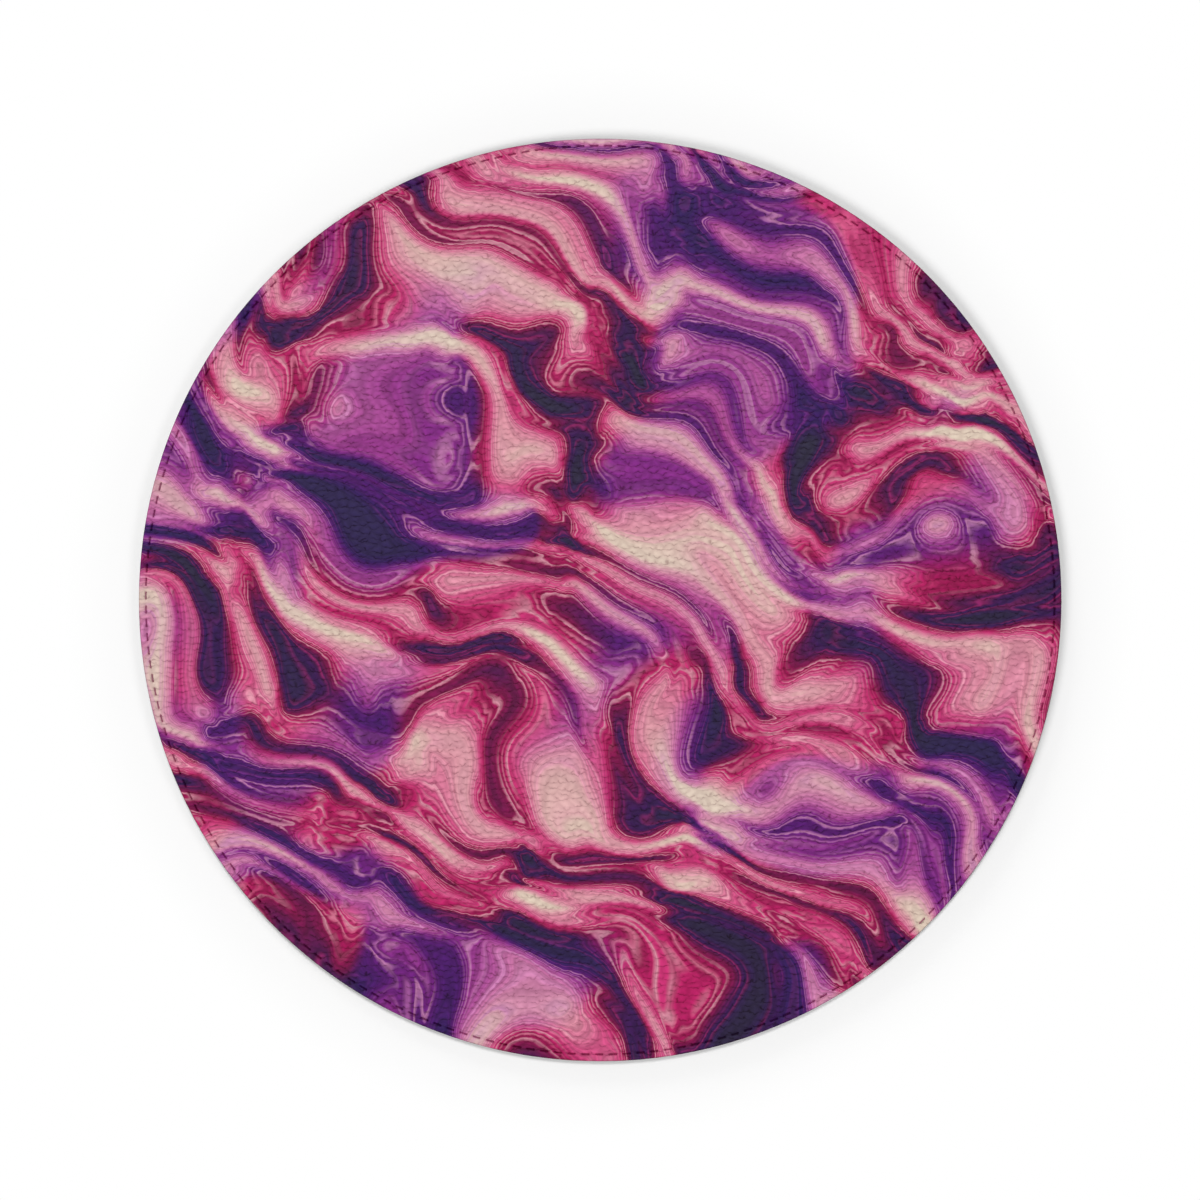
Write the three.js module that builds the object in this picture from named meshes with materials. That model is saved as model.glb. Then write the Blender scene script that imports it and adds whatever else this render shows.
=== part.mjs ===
// Round mouse pad: a printed face film with a leather grain on a knitted backing, a foam core and
// a suede-like base, glued together, cut round and sewn along the rim with a lockstitch.
// Millimetres, +Z up. The origin is the centre of the underside, where the pad lies on the desk,
// and +Y points away from the user.

import * as THREE from "three";

// The pad as a whole
const padDiameter = 220;
const rimChamfer = 0.15; // the corner that the cutting die rounds off the face and the base

// The sheets
const baseThickness = 0.8;
const coreThickness = 1.3;
const backingThickness = 0.55;
const faceThickness = 0.35;

// The glue films, which soak into both faces of the foam
const glueThickness = 0.1;
const glueMargin = 1.5; // how far they stop short of the groove, so that no glue gums the needle

// The seam
const seamInset = 1.67; // from the rim to the line of stitches
const stitchPitch = 3.29; // from the start of one stitch to the start of the next
const stitchShowShare = 0.49; // how much of each pitch shows thread
const stitchDive = 0.28; // the length over which each end of a stitch sinks into its needle hole
const threadDiameter = 0.36;
const threadRecess = 0.02; // how far the crown of the thread lies below the pad's own face
const threadSideRoom = 0.05; // free room beside the thread on the floor of the groove
const tieDiameter = 0.08; // the thin run that ties one stitch to the next
const grooveShoulder = 0.35; // the width of each sloping side of the groove

// How far a flat facet may lie inside the true circle
const facetDepth = 0.085;

// Sizes worked out from those above
const padRadius = padDiameter / 2;
const padThickness = baseThickness + coreThickness + backingThickness + faceThickness;
const seamRadius = padRadius - seamInset;
const stitchCount = Math.round((2 * Math.PI * seamRadius) / stitchPitch);
const grooveDepth = threadDiameter + threadRecess;
const grooveFloorHalf = threadDiameter / 2 + threadSideRoom + facetDepth;
const grooveHalf = grooveFloorHalf + grooveShoulder;
const glueRadius = seamRadius - grooveHalf - glueMargin;
const facets = Math.ceil(Math.PI / Math.acos(1 - facetDepth / padRadius));

const coreLevel = baseThickness;
const backingLevel = coreLevel + coreThickness;
const faceLevel = backingLevel + backingThickness;

const finishes = {
  base: { color: 0x3a383b, roughness: 1, metalness: 0 },
  glue: { color: 0xcfc7a8, roughness: 0.4, metalness: 0 },
  core: { color: 0x2c2b2d, roughness: 0.9, metalness: 0 },
  backing: { color: 0xd9d2c8, roughness: 0.95, metalness: 0 },
  face: { color: 0x984d76, roughness: 0.5, metalness: 0 },
  needleThread: { color: 0x3b1a26, roughness: 0.7, metalness: 0 },
  bobbinThread: { color: 0x1d1a1c, roughness: 0.7, metalness: 0 },
};

function placed(name, geometry, finish, level) {
  const mesh = new THREE.Mesh(geometry, new THREE.MeshStandardMaterial(finish));
  mesh.name = name;
  mesh.position.z = level;
  return mesh;
}

// Turns an outline of [radius, height] points about Z. The outline runs from the axis along
// the underside to the rim, and back along the top to the axis.
function turned(outline) {
  const points = outline.map(([radius, height]) => new THREE.Vector2(radius, height));
  return new THREE.LatheGeometry(points, facets).rotateX(Math.PI / 2);
}

// The stitches squeeze the pad evenly from both faces. Away from the seam a layer lies at the
// given level, and along it the layer is moved by this much, which is nothing halfway up.
function squeezeAt(level) {
  return grooveDepth * (1 - (2 * level) / padThickness);
}

// The groove across one face of a sheet, outwards. The height is the face's own in the sheet.
function groove(height, level) {
  const floor = height + squeezeAt(level);
  return [
    [seamRadius - grooveHalf, height],
    [seamRadius - grooveFloorHalf, floor],
    [seamRadius + grooveFloorHalf, floor],
    [seamRadius + grooveHalf, height],
  ];
}

function suedeBase() {
  return turned([
    [0, 0],
    ...groove(0, 0),
    [padRadius - rimChamfer, 0],
    [padRadius, rimChamfer],
    [padRadius, baseThickness],
    ...groove(baseThickness, coreLevel).reverse(),
    [0, baseThickness],
  ]);
}

// The foam is shallower by a film of glue on each face, out to the edge of the film.
function foamCore() {
  const innerTop = coreThickness - glueThickness;
  return turned([
    [0, glueThickness],
    [glueRadius, glueThickness],
    [glueRadius, 0],
    ...groove(0, coreLevel),
    [padRadius, 0],
    [padRadius, coreThickness],
    ...groove(coreThickness, backingLevel).reverse(),
    [glueRadius, coreThickness],
    [glueRadius, innerTop],
    [0, innerTop],
  ]);
}

function glueFilm() {
  return turned([
    [0, 0],
    [glueRadius, 0],
    [glueRadius, glueThickness],
    [0, glueThickness],
  ]);
}

function knitBacking() {
  return turned([
    [0, 0],
    ...groove(0, backingLevel),
    [padRadius, 0],
    [padRadius, backingThickness],
    ...groove(backingThickness, faceLevel).reverse(),
    [0, backingThickness],
  ]);
}

function printedFace() {
  return turned([
    [0, 0],
    ...groove(0, faceLevel),
    [padRadius, 0],
    [padRadius, faceThickness - rimChamfer],
    [padRadius - rimChamfer, faceThickness],
    ...groove(faceThickness, padThickness).reverse(),
    [0, faceThickness],
  ]);
}

// The thread's section is a ridge on a flat foot, as [across, height] points.
function threadSection(diameter) {
  return [
    [-diameter / 2, 0],
    [diameter / 2, 0],
    [0, diameter],
  ];
}

// One thread of the seam as one unbroken ring that lies on the floor of its groove. Each stitch
// rises to its full section, and a thin tie on the floor leads from its end to the next.
function seamThread() {
  const full = threadSection(threadDiameter);
  const tie = threadSection(tieDiameter);
  const halfStitch = (stitchPitch * stitchShowShare) / 2;
  const stations = [
    [-halfStitch, tie],
    [-halfStitch + stitchDive, full],
    [halfStitch - stitchDive, full],
    [halfStitch, tie],
  ];

  const positions = [];
  for (let stitch = 0; stitch < stitchCount; stitch++) {
    const middle = (2 * Math.PI * stitch) / stitchCount;
    for (const [along, section] of stations) {
      const angle = middle + along / seamRadius;
      for (const [across, height] of section) {
        const radius = seamRadius + across;
        positions.push(radius * Math.cos(angle), radius * Math.sin(angle), height);
      }
    }
  }

  const sides = full.length;
  const corners = positions.length / 3;
  const indices = [];
  for (let ring = 0; ring < corners; ring += sides) {
    const nextRing = (ring + sides) % corners;
    for (let side = 0; side < sides; side++) {
      const nextSide = (side + 1) % sides;
      indices.push(ring + side, nextRing + nextSide, ring + nextSide);
      indices.push(ring + side, nextRing + side, nextRing + nextSide);
    }
  }

  return new THREE.BufferGeometry()
    .setAttribute("position", new THREE.Float32BufferAttribute(positions, 3))
    .setIndex(indices);
}

const base = new THREE.Group();
base.add(placed("suede_base", suedeBase(), finishes.base, 0));

const core = new THREE.Group();
core.position.z = coreLevel;
core.add(placed("lower_glue_film", glueFilm(), finishes.glue, 0));
core.add(placed("foam_core", foamCore(), finishes.core, 0));
core.add(placed("upper_glue_film", glueFilm(), finishes.glue, coreThickness - glueThickness));

const covering = new THREE.Group();
covering.position.z = backingLevel;
covering.add(placed("knit_backing", knitBacking(), finishes.backing, 0));
covering.add(placed("printed_face", printedFace(), finishes.face, backingThickness));

const needleLevel = padThickness - grooveDepth;
const needleThread = placed("needle_thread", seamThread(), finishes.needleThread, needleLevel);
const bobbinThread = placed("bobbin_thread", seamThread(), finishes.bobbinThread, grooveDepth);
bobbinThread.rotation.x = Math.PI;
const seam = new THREE.Group();
seam.add(needleThread, bobbinThread);

const mousePad = new THREE.Group();
mousePad.name = "mouse_pad";
mousePad.add(base, core, covering, seam);

export default mousePad;
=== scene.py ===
# The round mouse pad, dressed for its photograph: a marbled print on a leather-grained face film,
# a knitted backing, a foam core and a suede-like base, sewn along the rim. Lengths are in
# millimetres, unless a note says otherwise.
import math
import random

import bpy
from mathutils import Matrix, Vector, noise


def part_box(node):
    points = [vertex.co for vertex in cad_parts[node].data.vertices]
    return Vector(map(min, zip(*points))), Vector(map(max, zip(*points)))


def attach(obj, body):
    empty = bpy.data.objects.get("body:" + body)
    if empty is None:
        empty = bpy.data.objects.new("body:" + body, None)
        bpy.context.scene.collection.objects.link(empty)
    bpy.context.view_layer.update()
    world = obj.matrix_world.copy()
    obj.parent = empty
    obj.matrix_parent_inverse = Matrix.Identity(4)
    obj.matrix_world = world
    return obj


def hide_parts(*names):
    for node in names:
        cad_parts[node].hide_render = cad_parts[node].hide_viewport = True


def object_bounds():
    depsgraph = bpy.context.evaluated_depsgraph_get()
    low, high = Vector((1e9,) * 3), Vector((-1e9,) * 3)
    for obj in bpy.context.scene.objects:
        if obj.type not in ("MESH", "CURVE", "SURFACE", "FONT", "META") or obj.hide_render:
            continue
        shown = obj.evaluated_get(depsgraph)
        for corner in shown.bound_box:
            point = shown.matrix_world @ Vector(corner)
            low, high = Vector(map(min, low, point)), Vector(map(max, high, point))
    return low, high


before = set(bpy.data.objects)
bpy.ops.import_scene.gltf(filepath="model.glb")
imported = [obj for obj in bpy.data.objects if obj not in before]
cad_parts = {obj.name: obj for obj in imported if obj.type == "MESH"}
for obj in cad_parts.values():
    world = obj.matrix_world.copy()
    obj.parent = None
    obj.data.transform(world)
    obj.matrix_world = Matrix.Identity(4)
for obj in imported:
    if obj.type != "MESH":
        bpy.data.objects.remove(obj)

scene = bpy.context.scene
scene.view_settings.view_transform = "Standard"
cadLow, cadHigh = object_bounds()
cadCore, cadKnit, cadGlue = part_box("foam_core"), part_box("knit_backing"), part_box("upper_glue_film")
mm = 0.001

pad = {
    "radius": cadHigh.x / mm,
    "thickness": cadHigh.z / mm,
    "baseTop": cadCore[0].z / mm,  # heights of the faces between the sheets
    "coreTop": cadCore[1].z / mm,
    "backingTop": cadKnit[1].z / mm,
    "glueTo": cadGlue[1].x / mm,  # radius of the films of glue
    "glueDeep": (cadGlue[1].z - cadGlue[0].z) / mm,
}
seam = {
    "inset": 1.67,  # from the rim to the line of stitches
    "stitches": 207,
    "firstAt": math.radians(0.31),
    "showing": 1.72,  # length of thread between its two needle holes
    "pressed": 0.38,  # how far the thread's solids lie under the pad's faces
    "floorHalf": 0.3,  # half the width of the pressed line in the inner faces
    "slopeHalf": 0.665,  # and the same with its slopes
}
seam["radius"] = pad["radius"] - seam["inset"]
seam["turn"] = 2 * math.pi / seam["stitches"]
seam["pitch"] = seam["turn"] * seam["radius"]


# Shader maths

def linear(red, green, blue):
    # a colour as it shows on screen, from 0 to 255, as the light that the shaders count in
    def one(level):
        level /= 255
        return level / 12.92 if level <= 0.04045 else ((level + 0.055) / 1.055) ** 2.4
    return (one(red), one(green), one(blue), 1.0)


class Wire:
    # an output socket that Python's own operators work on
    def __init__(self, shader, socket):
        self.shader = shader
        self.socket = socket

    def sibling(self, name):
        return Wire(self.shader, self.socket.node.outputs[name])

    def isVector(self):
        return self.socket.type in ("VECTOR", "RGBA")

    def maths(self, operation, *terms):
        vector = any(isinstance(term, tuple) or isinstance(term, Wire) and term.isVector()
                     for term in terms)
        kind = "ShaderNodeVectorMath" if vector else "ShaderNodeMath"
        return self.shader.add(kind, {"operation": operation}, dict(enumerate(terms)))

    def __add__(self, other):
        return self.maths("ADD", self, other)

    def __radd__(self, other):
        return self.maths("ADD", other, self)

    def __sub__(self, other):
        return self.maths("SUBTRACT", self, other)

    def __rsub__(self, other):
        return self.maths("SUBTRACT", other, self)

    def __mul__(self, other):
        return self.maths("MULTIPLY", self, other)

    def __rmul__(self, other):
        return self.maths("MULTIPLY", other, self)

    def __pow__(self, other):
        return self.maths("POWER", self, other)

    def __rpow__(self, other):
        return self.maths("POWER", other, self)

    def sine(self):
        return self.maths("SINE", self)

    def larger(self, other):
        return self.maths("MAXIMUM", self, other)

    def length(self):
        return self.shader.add("ShaderNodeVectorMath", {"operation": "LENGTH"}, {0: self}, "Value")

    def direction(self):
        return self.maths("NORMALIZE", self)


class Shader:
    # the nodes of one material, or of the world
    def __init__(self, name, owner=None):
        self.owner = owner or bpy.data.materials.new(name)
        self.owner.use_nodes = True
        self.tree = self.owner.node_tree
        self.surface = self.tree.nodes.get("Principled BSDF")
        # object coordinates in millimetres
        self.place = self.add("ShaderNodeTexCoord", output="Object") * (1 / mm)

    def add(self, kind, settings=None, sockets=None, output=0):
        node = self.tree.nodes.new(kind)
        for name, value in (settings or {}).items():
            if name == "stops":
                self.fillRamp(node.color_ramp, value)
            else:
                setattr(node, name, value)
        for key, value in (sockets or {}).items():
            self.join(node.inputs[key], value)
        return Wire(self, node.outputs[output])

    def join(self, socket, value):
        if isinstance(value, Wire):
            self.tree.links.new(value.socket, socket)
        elif socket.type == "VECTOR" and isinstance(value, (int, float)):
            socket.default_value = (value, value, value)
        else:
            socket.default_value = value

    def fillRamp(self, ramp, stops):
        while len(ramp.elements) < len(stops):
            ramp.elements.new(0.5)
        for element, (position, colour) in zip(ramp.elements, stops):
            element.position = position
            element.color = colour

    def noise(self, place, size, detail=0.0, roughness=0.5, flat=True):
        settings = {"noise_dimensions": "2D" if flat else "3D"}
        sockets = {"Vector": place, "Scale": 1 / size, "Detail": detail, "Roughness": roughness}
        return self.add("ShaderNodeTexNoise", settings, sockets, "Fac")

    def push(self, place, size, detail, reach):
        # a shift by a noise, half of the reach at most to each side
        return (self.noise(place, size, detail).sibling("Color") - 0.5) * reach

    def ramp(self, factor, stops):
        return self.add("ShaderNodeValToRGB", {"stops": stops}, {"Fac": factor})

    def between(self, value, low, high, toLow=0.0, toHigh=1.0, smooth=True):
        settings = {"interpolation_type": "SMOOTHSTEP" if smooth else "LINEAR"}
        sockets = {0: value, 1: low, 2: high, 3: toLow, 4: toHigh}
        return self.add("ShaderNodeMapRange", settings, sockets)

    def mix(self, factor, first, second, blend="MIX"):
        settings = {"data_type": "RGBA", "blend_type": blend}
        return self.add("ShaderNodeMix", settings, {0: factor, 6: first, 7: second}, 2)

    def bump(self, height, depth, below=None):
        sockets = {"Height": height, "Distance": depth * mm, "Strength": 1.0}
        if below is not None:
            sockets["Normal"] = below
        return self.add("ShaderNodeBump", None, sockets)

    def part(self, vector, name):
        return self.add("ShaderNodeSeparateXYZ", None, {0: vector}, name)

    def seen(self):
        # 1 where the camera looks, straight or by way of gloss or glass, and 0 where light falls
        camera = self.add("ShaderNodeLightPath", output="Is Camera Ray")
        mirrored = camera.sibling("Is Glossy Ray").larger(camera.sibling("Is Transmission Ray"))
        return camera.larger(mirrored)

    def finish(self, **sockets):
        for name, value in sockets.items():
            self.join(self.surface.inputs[name.replace("_", " ")], value)
        return self.owner

    def output(self, shader):
        for node in self.tree.nodes:
            if node.bl_idname.startswith("ShaderNodeOutput"):
                self.join(node.inputs["Surface"], shader)
        return self.owner


# The print: slow swirls carry ribbons of ink between pale veins and dark pools

printLook = {
    "lean": math.radians(28),
    "swirlSize": 52,
    "swirlPush": 62,
    "eddySize": 21,
    "eddyPush": 12,
    "rippleSize": 4.5,
    "ripplePush": 0.9,
    "poolSize": 12.5,
    "poolStretch": (0.34, 1.2, 1),
    "poolRange": (0.175, 0.813),  # the part of the noise that the inks are spread over
    "familySize": 52,  # patches of warm inks and of cool ones
    "familyShift": 240,
    "familyEdge": (0.48, 0.575),
    "hairlineSides": (0.014, 0.034),
    "hairlineFade": 8,
    "hairlineShift": 90,
    "hairlineShow": (0.34, 0.62, 0.1, 1),
    "deepFrom": (0.66, 0.74),  # where the hairlines turn from pale to deep
    "wanderSize": 9,
    "wander": 5,
    "strataCount": 21,
    "strataDepth": 0.15,
    "strandCount": 70,
    "strandDepth": 0.07,
    "strandWander": 3,
    "strataShow": (0.04, 0.3, 0.25, 1),  # fainter in the palest inks
}
# the inks along the level, from the palest vein to the darkest pool
warmInks = [
    (0.00, linear(222, 202, 184)), (0.06, linear(220, 189, 177)), (0.13, linear(217, 163, 167)),
    (0.21, linear(213, 137, 156)), (0.305, linear(208, 108, 143)), (0.38, linear(203, 77, 127)),
    (0.465, linear(189, 45, 107)), (0.53, linear(172, 24, 90)), (0.60, linear(152, 14, 78)),
    (0.66, linear(132, 14, 73)), (0.73, linear(103, 14, 68)), (0.79, linear(73, 16, 72)),
    (0.86, linear(53, 18, 74)), (0.93, linear(45, 24, 69)), (1.00, linear(40, 35, 56)),
]
coolInks = [
    (0.00, linear(222, 202, 186)), (0.06, linear(218, 184, 180)), (0.13, linear(211, 155, 171)),
    (0.21, linear(202, 126, 163)), (0.30, linear(189, 103, 157)), (0.37, linear(170, 79, 147)),
    (0.455, linear(147, 54, 134)), (0.525, linear(125, 37, 125)), (0.62, linear(99, 25, 113)),
    (0.70, linear(80, 20, 103)), (0.79, linear(62, 19, 93)), (0.88, linear(47, 22, 83)),
    (1.00, linear(41, 30, 70)),
]
# thin lines that follow the ribbons: where along the level, and how strong
hairlines = [(0.07, 0.5), (0.145, 0.8), (0.235, 0.4), (0.315, 0.9), (0.405, 0.35),
             (0.485, 0.85), (0.555, 0.4), (0.63, 0.9), (0.80, 0.5), (0.90, 0.3)]


def marbledPrint(ink, place):
    look = printLook
    turned = {0: place, 1: (0, 0, 0), 2: (0, 0, 1), 3: look["lean"]}
    place = ink.add("ShaderNodeVectorRotate", {"rotation_type": "AXIS_ANGLE"}, turned)
    swirl = ink.push(place, look["swirlSize"], 1, look["swirlPush"])
    drift = place + swirl
    drift = drift + ink.push(drift, look["eddySize"], 1, look["eddyPush"])
    drift = drift + ink.push(drift, look["rippleSize"], 2, look["ripplePush"])

    pools = ink.noise(drift * look["poolStretch"], look["poolSize"], 1.4, 0.45)
    level = ink.between(pools, *look["poolRange"])
    patches = ink.noise(place + swirl + look["familyShift"], look["familySize"], 1)
    family = ink.between(patches, *look["familyEdge"])
    colour = ink.mix(family, ink.ramp(level, warmInks), ink.ramp(level, coolInks))

    peaks = []
    before, after = look["hairlineSides"]
    nothing = (0, 0, 0, 1)
    for position, strength in hairlines:
        grey = (strength, strength, strength, 1)
        peaks += [(position - before, nothing), (position, grey), (position + after, nothing)]
    fade = ink.noise(drift + look["hairlineShift"], look["hairlineFade"], 1)
    fade = ink.between(fade, *look["hairlineShow"])
    hairline = ink.add("ShaderNodeSeparateColor", None, {0: ink.ramp(level, peaks)}, 0) * fade
    paleLine = ink.mix(family, linear(232, 160, 178), linear(206, 134, 184))
    deepLine = ink.mix(family, linear(168, 40, 104), linear(128, 48, 132))
    deep = ink.between(level, *look["deepFrom"])
    colour = ink.mix(hairline, colour, ink.mix(deep, paleLine, deepLine))

    wander = ink.noise(drift, look["wanderSize"], 2) * look["wander"]
    strata = (level * (2 * math.pi * look["strataCount"]) + wander).sine() * look["strataDepth"]
    strands = level * (2 * math.pi * look["strandCount"]) + wander * look["strandWander"]
    strands = strands.sine() * look["strandDepth"]
    showing = ink.between(level, *look["strataShow"])
    return ink.mix(1, colour, (strata + strands) * showing + 1, "MULTIPLY")


# The grain: flat pebbles, wider than they are high, each with a thin crease under its lower edge

# the ink is darkened in the creases as painted shade and lightened on the crowns as painted highlight
grainLook = {
    "pebbleWide": 2.6,
    "pebbleHigh": 1.45,
    "waverSize": 1.0,
    "waver": (0.9, 0.85, 0),
    "creaseFrom": 0.02,  # a crease fades out from here to there, as shares of a pebble
    "creaseShare": 0.22,
    "creaseFacing": (0.3, 0.95),
    "upright": 0.04,  # how strong the upright creases are beside the level ones
    "gapSize": 1.5,  # here and there a crease fades out
    "gapShow": (0.34, 0.6, 0.3, 1),
    # painted shade darkens the ink in the creases, and painted highlight lightens it on the pebbles'
    # crowns
    "creasePaintedShade": 0.5,
    "crownPaintedHighlight": 0.26,
    "paintedShadeTint": (0.9, 1.08, 1.03),  # how much of each colour the painted shade in a crease takes away
    "onDark": 1.1,  # the painted crease shade and crown highlight show more on dark ink than on pale
    "onPale": 0.64,
    "paleFrom": 0.28,
    "inkShift": (0, 0.2, 0),  # the ink follows the relief a little
    "pebbleDepth": 0.07,
    "poreSize": 0.24,
    "poreDepth": 0.01,
    "crownRough": 0.48,
    "creaseRough": 0.7,
    "shine": 0.1,
}
rimLook = {
    # painted shade of the rounded rim: the ink darkens over the last strip inside the rim
    "paintedRimShade": 0.4,
    "rimShadeWidth": 0.4,
    "rimShadeColour": linear(58, 26, 44),
    "rawUnder": (0.25, 0.19),  # the pale body of the film shows at the cut, from here under the top
    "rawWithin": (0.6, 0.4),  # and from here within the rim
    "rawColour": linear(205, 196, 194),
}


def leatherGrain(film):
    look = grainLook
    place = film.place
    waver = film.push(place, look["waverSize"], 1.5, look["waver"])
    cells = (place + waver) * (1 / look["pebbleWide"], 1 / look["pebbleHigh"], 0)
    near = {"Vector": cells, "Scale": 1.0, "Randomness": 1.0}
    flat = {"voronoi_dimensions": "2D"}
    edge = film.add("ShaderNodeTexVoronoi", {**flat, "feature": "DISTANCE_TO_EDGE"}, near)
    heart = film.add("ShaderNodeTexVoronoi", {**flat, "feature": "F1"}, near, "Position")
    below = film.part((heart - cells).direction(), "Y")
    facing = film.between(below, *look["creaseFacing"], look["upright"], 1)
    broken = film.between(film.noise(place, look["gapSize"], 1), *look["gapShow"])
    crease = (1 - film.between(edge, look["creaseFrom"], look["creaseShare"])) * facing * broken
    dome = film.between(edge, 0.0, 0.5)
    height = dome * 0.5 + (1 - crease) * 0.5
    pores = film.noise(place, look["poreSize"], 1)
    return crease, dome, height, pores


def faceMaterial():
    film = Shader("printedLeatherFilm")
    look = grainLook
    crease, dome, height, pores = leatherGrain(film)
    ink = marbledPrint(film, film.place + dome * look["inkShift"])
    pale = film.add("ShaderNodeRGBToBW", None, {0: ink})
    strength = film.between(pale, 0, look["paleFrom"], look["onDark"], look["onPale"])
    # painted shade in the creases and painted highlight on the crowns, multiplied into the ink
    tone = dome * look["crownPaintedHighlight"] - crease * look["creasePaintedShade"] - look["crownPaintedHighlight"] / 2
    inkWithPaintedShade = film.mix(1, ink, tone * strength * look["paintedShadeTint"] + (1, 1, 1), "MULTIPLY")

    radius = (film.place * (1, 1, 0)).length()
    rim, top = pad["radius"], pad["thickness"]
    # painted shade: the ink darkens towards the rim, as shade on its rounded edge
    paintedRimShade = film.between(radius, rim - rimLook["rimShadeWidth"], rim, 0, rimLook["paintedRimShade"])
    withRimShade = film.mix(paintedRimShade, inkWithPaintedShade, rimLook["rimShadeColour"])
    (lowest, highest), (inner, outer) = rimLook["rawUnder"], rimLook["rawWithin"]
    raw = film.between(film.part(film.place, "Z"), top - lowest, top - highest, 1, 0)
    raw *= film.between(radius, rim - inner, rim - outer)
    colour = film.mix(raw, withRimShade, rimLook["rawColour"])

    relief = film.bump(height, look["pebbleDepth"])
    relief = film.bump(pores, look["poreDepth"], relief)
    rough = film.between(crease, 0, 1, look["crownRough"], look["creaseRough"], smooth=False)
    film.surface.inputs["Specular IOR Level"].default_value = look["shine"]
    return film.finish(Base_Color=colour, Roughness=rough, Normal=relief)


knitLook = {
    "waleWide": 0.86,  # loops stand in columns, the wales, and rows, the courses
    "courseHigh": 0.62,
    "courseBow": 1.3,
    "fuzzSize": 0.17,
    "shares": (0.4, 0.22, 0.6),  # of wales, courses and fuzz in the relief
    "depth": 0.16,
    "tones": [(0.3, linear(128, 119, 110)), (0.85, linear(226, 218, 208))],
    "rough": 0.95,
}


def knitMaterial():
    look = knitLook
    cloth = Shader("knitBackcloth")
    across = cloth.part(cloth.place, "X")
    along = across.sibling("Y")
    wale = (across * (math.pi / look["waleWide"])).sine() ** 2
    course = (along * (math.pi / look["courseHigh"]) + wale * look["courseBow"]).sine() ** 2
    fuzz = cloth.noise(cloth.place, look["fuzzSize"], 2, flat=False)
    waleShare, courseShare, fuzzShare = look["shares"]
    loops = wale * waleShare + course * courseShare + fuzz * fuzzShare
    tone = cloth.ramp(loops, look["tones"])
    relief = cloth.bump(loops, look["depth"])
    return cloth.finish(Base_Color=tone, Roughness=look["rough"], Normal=relief)


foamLook = {
    "cellsPerMm": 5.5,
    "depth": 0.08,
    "tones": [(0.1, linear(22, 21, 23)), (0.6, linear(58, 56, 59))],
    "rough": 0.92,
}


def foamMaterial():
    foam = Shader("closedCellFoam")
    near = {"Vector": foam.place, "Scale": foamLook["cellsPerMm"]}
    cells = foam.add("ShaderNodeTexVoronoi", {"feature": "F1"}, near, "Distance")
    tone = foam.ramp(cells, foamLook["tones"])
    relief = foam.bump(cells, foamLook["depth"])
    return foam.finish(Base_Color=tone, Roughness=foamLook["rough"], Normal=relief)


suedeLook = {
    "napSize": 0.28,
    "napStretch": (1, 0.5, 1),
    "napShare": 0.55,
    "napDepth": 0.12,
    "brushSize": 11,
    "brushStretch": (1, 0.35, 1),
    "brushShare": 0.45,
    "tones": [(0.36, linear(30, 28, 31)), (0.63, linear(98, 94, 100))],
    "sheen": 0.35,
    "sheenRough": 0.5,
}


def suedeMaterial():
    look = suedeLook
    suede = Shader("suedeNap")
    nap = suede.noise(suede.place * look["napStretch"], look["napSize"], 4, 0.7, flat=False)
    brushed = suede.noise(suede.place * look["brushStretch"], look["brushSize"], 3, 0.6)
    tone = suede.ramp(nap * look["napShare"] + brushed * look["brushShare"], look["tones"])
    relief = suede.bump(nap, look["napDepth"])
    suede.surface.inputs["Sheen Weight"].default_value = look["sheen"]
    suede.surface.inputs["Sheen Roughness"].default_value = look["sheenRough"]
    return suede.finish(Base_Color=tone, Roughness=1.0, Normal=relief)


glueLook = {
    "streakSize": 2.5,
    "streakStretch": (1, 0.2, 1),
    "depth": 0.03,
    "tones": [(0.3, linear(186, 176, 140)), (0.7, linear(222, 214, 186))],
    "rough": 0.4,
}


def glueMaterial():
    glue = Shader("driedGlue")
    streaks = glue.noise(glue.place * glueLook["streakStretch"], glueLook["streakSize"], 3)
    tone = glue.ramp(streaks, glueLook["tones"])
    relief = glue.bump(streaks, glueLook["depth"])
    return glue.finish(Base_Color=tone, Roughness=glueLook["rough"], Normal=relief)


threadLook = {
    "fibreSize": 0.09,
    "depth": 0.02,
    "rough": 0.8,
    "shine": 0.06,
    # two tones of spun fibre: the share of the ink over the needle thread that shows, darker partly by
    # the thread's own take of the ink and partly as painted shade
    "needle": [(0.32, (0.31, 0.14, 0.235, 1)), (0.7, (0.68, 0.36, 0.55, 1))],
    "bobbin": [(0.32, linear(18, 16, 18)), (0.7, linear(52, 48, 52))],
}


def threadMaterial(name, tones, printed=False):
    thread = Shader(name)
    fibres = thread.noise(thread.place, threadLook["fibreSize"], 2, 0.6, flat=False)
    tone = thread.ramp(fibres, tones)
    if printed:
        # the print on the needle thread, darkened partly as the thread's take of the ink and partly as
        # painted shade
        tone = thread.mix(1, marbledPrint(thread, thread.place), tone, "MULTIPLY")
    relief = thread.bump(fibres, threadLook["depth"])
    thread.surface.inputs["Specular IOR Level"].default_value = threadLook["shine"]
    return thread.finish(Base_Color=tone, Roughness=threadLook["rough"], Normal=relief)


# Meshes

def newPiece(name, points, faces, material):
    mesh = bpy.data.meshes.new(name)
    mesh.from_pydata([Vector(point) * mm for point in points], [], faces)
    mesh.shade_smooth()
    mesh.materials.append(material)
    piece = bpy.data.objects.new(name, mesh)
    scene.collection.objects.link(piece)
    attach(piece, "root")
    return piece


def ring(count, radius, height, shape=None):
    # one round of points, which shape(radius, angle, height) may move
    if count == 1:
        return [(0.0, 0.0, height)]
    points = []
    for step in range(count):
        angle = 2 * math.pi * step / count
        r, z = shape(radius, angle, height) if shape else (radius, height)
        points.append((r * math.cos(angle), r * math.sin(angle), z))
    return points


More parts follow.
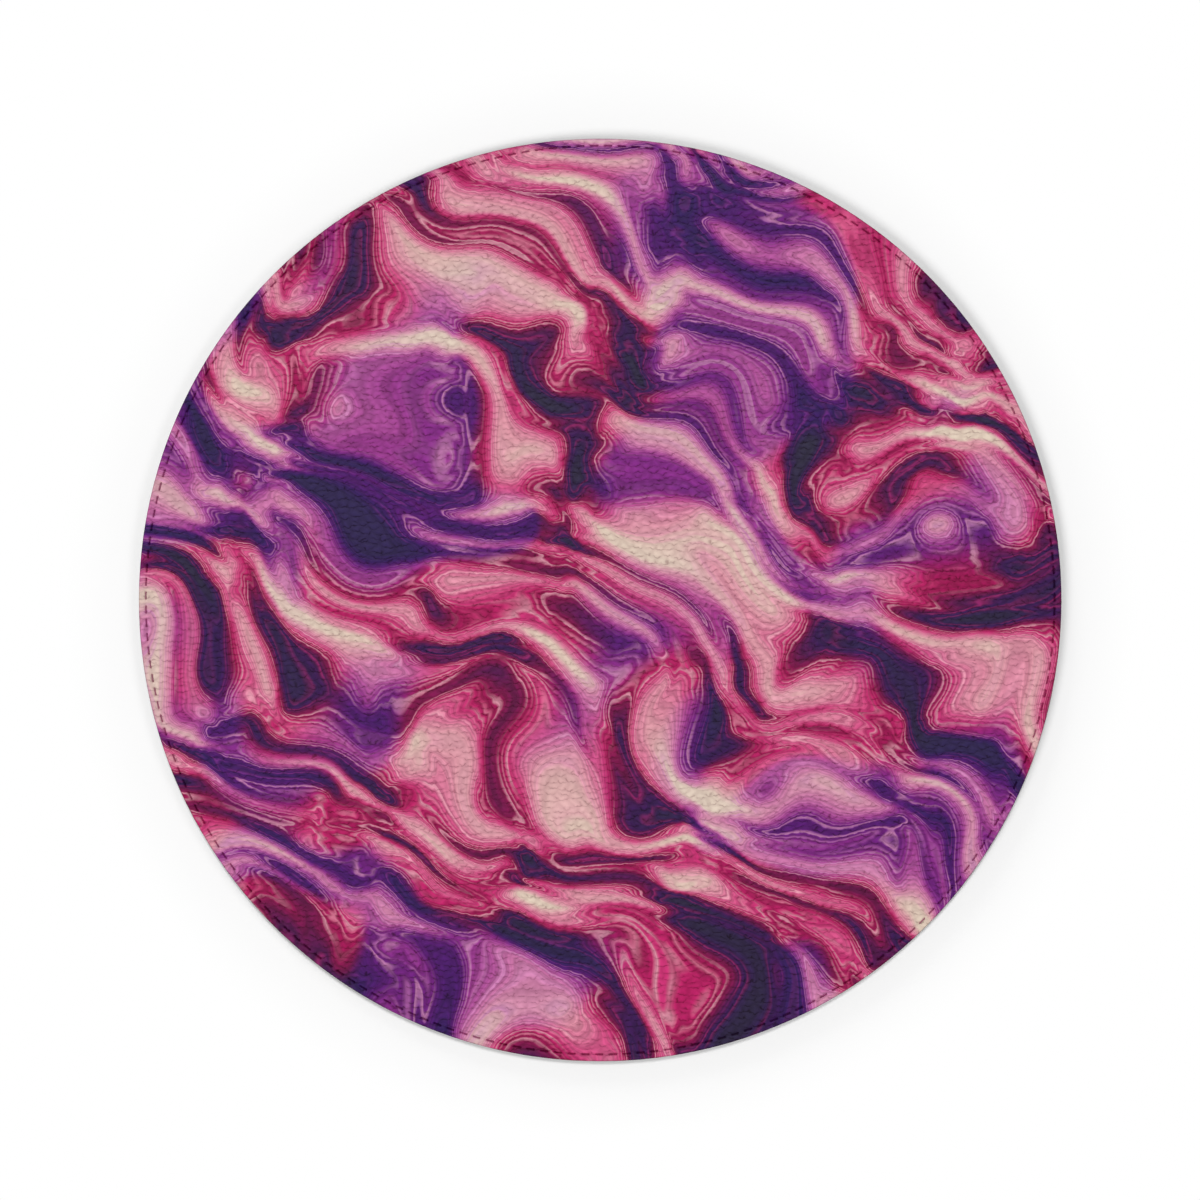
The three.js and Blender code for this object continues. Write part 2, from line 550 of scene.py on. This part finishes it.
def bridge(first, firstCount, second, secondCount):
    # faces from one ring to the next, whose count is the same, half or double, or 1 at the middle
    faces = []
    steps = min(firstCount, secondCount)
    if steps == 1:
        steps = max(firstCount, secondCount)
    for step in range(steps):
        after = (step + 1) % steps
        if firstCount == 1:
            faces.append((first, second + after, second + step))
        elif secondCount == 1:
            faces.append((first + step, first + after, second))
        elif firstCount == secondCount:
            faces.append((first + step, first + after, second + after, second + step))
        elif secondCount == 2 * firstCount:
            left, middle, right = second + 2 * step, second + 2 * step + 1, second + 2 * after
            faces.append((first + step, middle, left))
            faces.append((first + step, first + after, middle))
            faces.append((first + after, right, middle))
        else:
            left, middle, right = first + 2 * step, first + 2 * step + 1, first + 2 * after
            faces.append((left, middle, second + step))
            faces.append((middle, second + after, second + step))
            faces.append((middle, right, second + after))
    return faces


def turnedShell(name, rings, material):
    # rings run from the middle of the underside round the rim to the middle of the top
    points, faces, starts = [], [], []
    for circle in rings:
        starts.append(len(points))
        points.extend(circle)
    for index in range(len(rings) - 1):
        counts = len(rings[index]), len(rings[index + 1])
        faces += bridge(starts[index], counts[0], starts[index + 1], counts[1])
    piece = newPiece(name, points, faces, material)
    print(name + ":", len(faces), "faces")
    return piece


def quarterTurn(steps):
    return [math.radians(90 * step / steps) for step in range(steps + 1)]


sewing = {
    "channelDepth": 0.05,
    "channelWidth": 0.75,
    "troughDepth": 0.2,
    "troughWidth": 0.27,
    "troughPast": 0.12,  # how far the trough of a stitch runs past its ends, and fades over
    "troughFade": 0.3,
    "holeDepth": 0.3,
    "holeWidth": 0.24,
    "onBase": 1.15,  # the soft base is drawn in a little deeper than the face
}


def sewnDip(radius, angle):
    # how deep the stitches draw a face in at this place
    turns = (angle - seam["firstAt"]) / seam["turn"]
    along = abs(turns - round(turns)) * seam["pitch"]
    across = radius - seam["radius"]
    half = seam["showing"] / 2
    channel = sewing["channelDepth"] * math.exp(-((across / sewing["channelWidth"]) ** 2))
    run = min(1.0, max(0.0, (half + sewing["troughPast"] - along) / sewing["troughFade"]))
    trough = sewing["troughDepth"] * run * math.exp(-((across / sewing["troughWidth"]) ** 2))
    away = ((along - half) ** 2 + across ** 2) / sewing["holeWidth"] ** 2
    return channel + trough + sewing["holeDepth"] * math.exp(-away)


edgeLook = {
    "wander": 0.035,  # how far the knife strayed inwards
    "wanderSize": 2.4,
    "wanderTall": 2,
    "faceFoot": [(0.05, 0.0), (0.01, 0.04)],  # the lower corner of the film: inwards and up
    "faceRound": 0.3,
    "baseRound": 0.2,
    "baseShoulder": 0.03,
    "knitIn": 0.13,
    "loopOut": 0.08,
    "fray": 0.03,
    "fraySize": 0.5,
    "knitRings": (0.04, 0.15, 0.27, 0.4, 0.5, 0.6, 0.73, 0.85, 0.96),  # shares of its height
    "foamIn": 0.06,
    "foamHollow": 0.14,
    "foamTorn": 0.05,
    "tornSize": 0.45,
    "foamRings": (0.03, 0.15, 0.27, 0.38, 0.5, 0.62, 0.73, 0.85, 0.97),
}


def edgeWander(angle, height, amount, size):
    around = Vector((math.cos(angle), math.sin(angle), 0)) * (pad["radius"] / size)
    return amount * noise.noise(around + Vector((0, 0, height / size)))


def cutEdge(radius, angle, height):
    stray = edgeWander(angle, height / edgeLook["wanderTall"], edgeLook["wander"],
                       edgeLook["wanderSize"])
    return radius - abs(stray), height


# Rings of points, closer together and with more points each towards the seam
rounds = {
    "plainGap": 3.4,
    "plainRings": 29,
    "finer": [(8.0, 1), (5.6, 2), (4.2, 4), (3.4, 8)],  # inside the rim, and points per stitch
    "besideSeam": [-1.38, -1.08, -0.83, -0.63, -0.45, -0.31, -0.19, -0.09, 0.0,
                   0.09, 0.19, 0.31, 0.45, 0.63, 0.87, 1.12],
    "hiddenPlain": 60,
    "hiddenFiner": 8.0,  # how far inside the rim the hidden faces' rings get finer, and their gap
    "hiddenGap": 1.2,
    "glueStep": 0.01,
}
middleCount = seam["stitches"] * 8
fineCount = seam["stitches"] * 16


def outwardRings(height, shape):
    # a face from its middle to just inside the seam
    few = seam["stitches"]
    plain = [rounds["plainGap"] * step for step in range(1, rounds["plainRings"] + 1)]
    rings = [ring(1, 0, height)] + [ring(few, radius, height, shape) for radius in plain]
    for inside, finer in rounds["finer"]:
        rings.append(ring(few * finer, pad["radius"] - inside, height, shape))
    return rings


def seamRings(height, shape):
    radii = [seam["radius"] + across for across in rounds["besideSeam"]]
    return [ring(fineCount, radius, height, shape) for radius in radii]


def hiddenRings(height, sunk=0.0):
    # an inner face, pressed along the seam, and sunk where a film of glue lies on it
    few = seam["stitches"]
    finerFrom = pad["radius"] - rounds["hiddenFiner"]
    pressed = height + seam["pressed"] * (1 - 2 * height / pad["thickness"])
    rings = [ring(1, 0, height + sunk)]
    rings += [ring(few, radius, height + sunk) for radius in (rounds["hiddenPlain"], finerFrom)]
    for finer in (2, 4, 8):
        radius = finerFrom + rounds["hiddenGap"] * math.log2(finer)
        rings.append(ring(few * finer, radius, height + sunk))
    if sunk:
        rings.append(ring(middleCount, pad["glueTo"], height + sunk))
        rings.append(ring(middleCount, pad["glueTo"] + rounds["glueStep"], height))
    slope, floor = seam["slopeHalf"], seam["floorHalf"]
    for across, level in ((-slope, height), (-floor, pressed), (floor, pressed), (slope, height)):
        rings.append(ring(middleCount, seam["radius"] + across, level))
    return rings


def printedFace():
    top, bottom = pad["thickness"], pad["backingTop"]
    rim, rounding = pad["radius"], edgeLook["faceRound"]

    def pressed(radius, angle, height):
        return radius, height - sewnDip(radius, angle)

    rings = hiddenRings(bottom)
    for inside, up in edgeLook["faceFoot"]:
        rings.append(ring(fineCount, rim - inside, bottom + up, cutEdge))
    for turn in quarterTurn(5):
        radius = rim - rounding * (1 - math.cos(turn))
        rings.append(ring(fineCount, radius, top - rounding * (1 - math.sin(turn)), cutEdge))
    rings += reversed(seamRings(top, pressed))
    rings += reversed(outwardRings(top, pressed))
    piece = turnedShell("printed_leather_face", rings, faceMaterial())
    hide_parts("printed_face")


def knitBacking():
    bottom, top, rim = pad["coreTop"], pad["backingTop"], pad["radius"]

    def frayed(radius, angle, height):
        # each wale that the cut runs through stands out as two ends of yarn, one over the other
        share = (height - bottom) / (top - bottom)
        wale = math.sin(math.pi * radius * math.cos(angle) / knitLook["waleWide"]) ** 2
        out = edgeLook["loopOut"] * wale * math.sin(2 * math.pi * share) ** 2
        out += edgeWander(angle, height, edgeLook["fray"], edgeLook["fraySize"])
        return radius + out, height

    rings = hiddenRings(bottom)
    for share in edgeLook["knitRings"]:
        height = bottom + share * (top - bottom)
        rings.append(ring(fineCount, rim - edgeLook["knitIn"], height, frayed))
    rings += reversed(hiddenRings(top))
    piece = turnedShell("knitted_backcloth", rings, knitMaterial())
    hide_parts("knit_backing")


def foamCore():
    bottom, top, rim = pad["baseTop"], pad["coreTop"], pad["radius"]

    def torn(radius, angle, height):
        stray = edgeWander(angle, height, edgeLook["foamTorn"], edgeLook["tornSize"])
        return radius + stray, height

    rings = hiddenRings(bottom, pad["glueDeep"])
    for share in edgeLook["foamRings"]:
        hollow = edgeLook["foamHollow"] * (1 - (2 * share - 1) ** 2)
        height = bottom + share * (top - bottom)
        rings.append(ring(fineCount, rim - edgeLook["foamIn"] - hollow, height, torn))
    rings += reversed(hiddenRings(top, -pad["glueDeep"]))
    piece = turnedShell("soft_foam_core", rings, foamMaterial())
    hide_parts("foam_core")


def suedeBase():
    bottom, top, rim = 0.0, pad["baseTop"], pad["radius"]
    rounding, shoulder = edgeLook["baseRound"], edgeLook["baseShoulder"]

    def pressed(radius, angle, height):
        return radius, height + sewing["onBase"] * sewnDip(radius, angle)

    rings = outwardRings(bottom, pressed) + seamRings(bottom, pressed)
    for turn in quarterTurn(3):
        radius = rim - rounding * (1 - math.sin(turn))
        rings.append(ring(fineCount, radius, rounding * (1 - math.cos(turn)), cutEdge))
    rings.append(ring(fineCount, rim - shoulder, top - shoulder, cutEdge))
    rings += reversed(hiddenRings(top))
    piece = turnedShell("suede_anti_slip_base", rings, suedeMaterial())
    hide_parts("suede_base")


# The seam: each visible stitch is three plies twisted together, with both ends down a needle hole

plies = {
    "count": 3,
    "radius": 0.098,
    "offset": 0.09,
    "lay": 1.15,  # length of one full twist
    "stations": 13,
    "crowding": 0.7,  # below 1, the stations are closer together near the ends
    "sides": 6,
    "past": 0.09,  # how far each end runs on past its share of the thread that shows
    "dive": 0.42,
    "diveCurve": 7,  # the higher, the later the ends turn down
    "strayAlong": 0.04,
    "strayLength": 0.05,
    "strayAcross": 0.025,
    "needleUnder": 0.11,  # how far inside each face of the pad the middle of its thread lies
    "bobbinUnder": 0.2,
    "seeds": {1: 11, -1: 12},
}


def stitchPoints(at, reach, level, side, wobble):
    # rings of points along the plies of one stitch, centred at an angle of the seam
    half, dive, curve = reach / 2, plies["dive"], plies["diveCurve"]
    tubes = []
    for ply in range(plies["count"]):
        tube = []
        for station in range(plies["stations"]):
            share = 2 * station / (plies["stations"] - 1) - 1
            share = math.copysign(abs(share) ** plies["crowding"], share)
            along = share * (half + plies["past"])
            drop = dive * abs(share) ** curve
            steepness = math.copysign(abs(share) ** (curve - 1), share)
            slope = math.atan2(-dive * curve * steepness, half)
            angle = at + along / seam["radius"]
            outward = Vector((math.cos(angle), math.sin(angle), 0))
            forward = Vector((-math.sin(angle), math.cos(angle), 0))
            normal = Vector((0, 0, 1)) * math.cos(slope) - forward * math.sin(slope)
            normal.z *= side
            centre = outward * (seam["radius"] + wobble * (1 - share * share))
            centre.z = level - side * drop
            twist = 2 * math.pi * (along / plies["lay"] + ply / plies["count"])
            heart = outward * math.cos(twist) + normal * math.sin(twist)
            heart = centre + heart * plies["offset"]
            corners = []
            for corner in range(plies["sides"]):
                turn = side * 2 * math.pi * corner / plies["sides"]
                spoke = outward * math.cos(turn) + normal * math.sin(turn)
                corners.append(heart + spoke * plies["radius"])
            tube.append(corners)
        tubes.append(tube)
    return tubes


def tubeFaces(start, stations):
    sides = plies["sides"]
    faces = []
    for station in range(stations - 1):
        here = start + station * sides
        for corner in range(sides):
            after = (corner + 1) % sides
            faces.append((here + corner, here + sides + corner,
                          here + sides + after, here + after))
    last = start + (stations - 1) * sides
    faces.append(tuple(start + corner for corner in range(sides)))
    faces.append(tuple(last + corner for corner in reversed(range(sides))))
    return faces


def sewnThread(name, level, side, material, replaced):
    # side is 1 for the thread on the face and -1 for the one on the underside
    rng = random.Random(plies["seeds"][side])
    along, length, across = plies["strayAlong"], plies["strayLength"], plies["strayAcross"]
    points, faces = [], []
    for stitch in range(seam["stitches"]):
        at = seam["firstAt"] + stitch * seam["turn"] + rng.uniform(-along, along) / seam["radius"]
        reach = seam["showing"] * rng.uniform(1 - length, 1 + length)
        wobble = rng.uniform(-across, across)
        for tube in stitchPoints(at, reach, level, side, wobble):
            faces += tubeFaces(len(points), len(tube))
            for corners in tube:
                points.extend(corners)
    piece = newPiece(name, points, faces, material)
    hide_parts(replaced)
    print(name + ":", len(faces), "faces")


printedFace()
knitBacking()
foamCore()
suedeBase()
needleColour = threadMaterial("printedThread", threadLook["needle"], printed=True)
bobbinColour = threadMaterial("blackThread", threadLook["bobbin"])
needleLevel = pad["thickness"] - plies["needleUnder"]
sewnThread("needle_stitches", needleLevel, 1, needleColour, "needle_thread")
sewnThread("bobbin_stitches", plies["bobbinUnder"], -1, bobbinColour,
           "bobbin_thread")

# the films of glue keep their solids
glue = glueMaterial()
for node in ("upper_glue_film", "lower_glue_film"):
    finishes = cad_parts[node].data.materials
    finishes.clear()
    finishes.append(glue)
print("all pieces made")


# The table, the light and the camera

photo = {
    "width": 1200,
    "padAcross": 923.0,  # the pad's diameter in pixels
    "centre": (600.2, 600.0),
    "lens": 100,
}
light = {
    "ambient": 0.175,
    "away": 4.0,  # metres
    # direction round the table and height above it in degrees, how wide the lamp looks from the
    # table, and how bright it alone makes a white table
    "lamps": {
        "overhead": (90, 70, 12, 0.375),
        "key": (224, 48, 29, 0.29),
        "fill": (348, 46, 23, 0.088),
        "low": (122, 20, 14, 0.045),
    },
}
tableLook = {
    "half": 4,  # metres
    "under": 0.05,  # just below the pad, so that no two faces share a plane
    "white": 0.98,
    "shadeTo": 110,  # from here on, from the middle, the table fades to plain white
    "whiteFrom": 130,
}


def whiteTable():
    # a white top that holds the shadow, and further out is as white as the backdrop
    mesh = bpy.data.meshes.new("table")
    half, white = tableLook["half"], tableLook["white"]
    corners = [(-half, -half, 0), (half, -half, 0), (half, half, 0), (-half, half, 0)]
    mesh.from_pydata(corners, [], [(0, 1, 2, 3)])
    top = Shader("whiteTable")
    top.surface.inputs["Specular IOR Level"].default_value = 0
    top.finish(Base_Color=(white, white, white, 1), Roughness=1.0)
    lit = Wire(top, top.surface.outputs[0])
    bright = top.add("ShaderNodeEmission", None, {"Color": (1, 1, 1, 1), "Strength": 1.0})
    beyond = top.between(top.place.length(), tableLook["shadeTo"], tableLook["whiteFrom"])
    blend = top.add("ShaderNodeMixShader", None, {0: beyond * top.seen(), 1: lit, 2: bright})
    mesh.materials.append(top.output(blend))
    table = bpy.data.objects.new("table", mesh)
    table.location.z = -tableLook["under"] * mm
    scene.collection.objects.link(table)


def softLamp(name, around, up, wide, share):
    around, up, wide = math.radians(around), math.radians(up), math.radians(wide)
    flat = math.cos(up)
    towards = Vector((flat * math.cos(around), flat * math.sin(around), math.sin(up)))
    lamp = bpy.data.lights.new(name, "AREA")
    lamp.shape = "DISK"
    lamp.size = 2 * light["away"] * math.tan(wide / 2)
    lamp.energy = share * (math.pi * light["away"] / math.cos(wide / 2)) ** 2 / towards.z
    holder = bpy.data.objects.new(name, lamp)
    holder.location = towards * light["away"]
    holder.rotation_euler = towards.to_track_quat("Z", "Y").to_euler()
    scene.collection.objects.link(holder)


def ambientLight():
    scene.world = bpy.data.worlds.new("studio")
    air = Shader("studio", scene.world)
    paper = (1, 1, 1, 1)
    fill = air.add("ShaderNodeBackground", None, {"Color": paper, "Strength": light["ambient"]})
    white = air.add("ShaderNodeBackground", None, {"Color": paper, "Strength": 1.0})
    air.output(air.add("ShaderNodeMixShader", None, {0: air.seen(), 1: fill, 2: white}))


def photoCamera():
    pixel = 2 * pad["radius"] * mm / photo["padAcross"]
    camera = bpy.data.cameras.new("camera")
    camera.lens = photo["lens"]
    away = photo["width"] * pixel * camera.lens / camera.sensor_width
    holder = bpy.data.objects.new("camera", camera)
    middle = photo["width"] / 2
    across, down = photo["centre"]
    height = away + pad["thickness"] * mm
    holder.location = ((middle - across) * pixel, (down - middle) * pixel, height)
    scene.collection.objects.link(holder)
    scene.camera = holder


whiteTable()
ambientLight()
for name, lamp in light["lamps"].items():
    softLamp(name, *lamp)
photoCamera()
print("table, light and camera set")
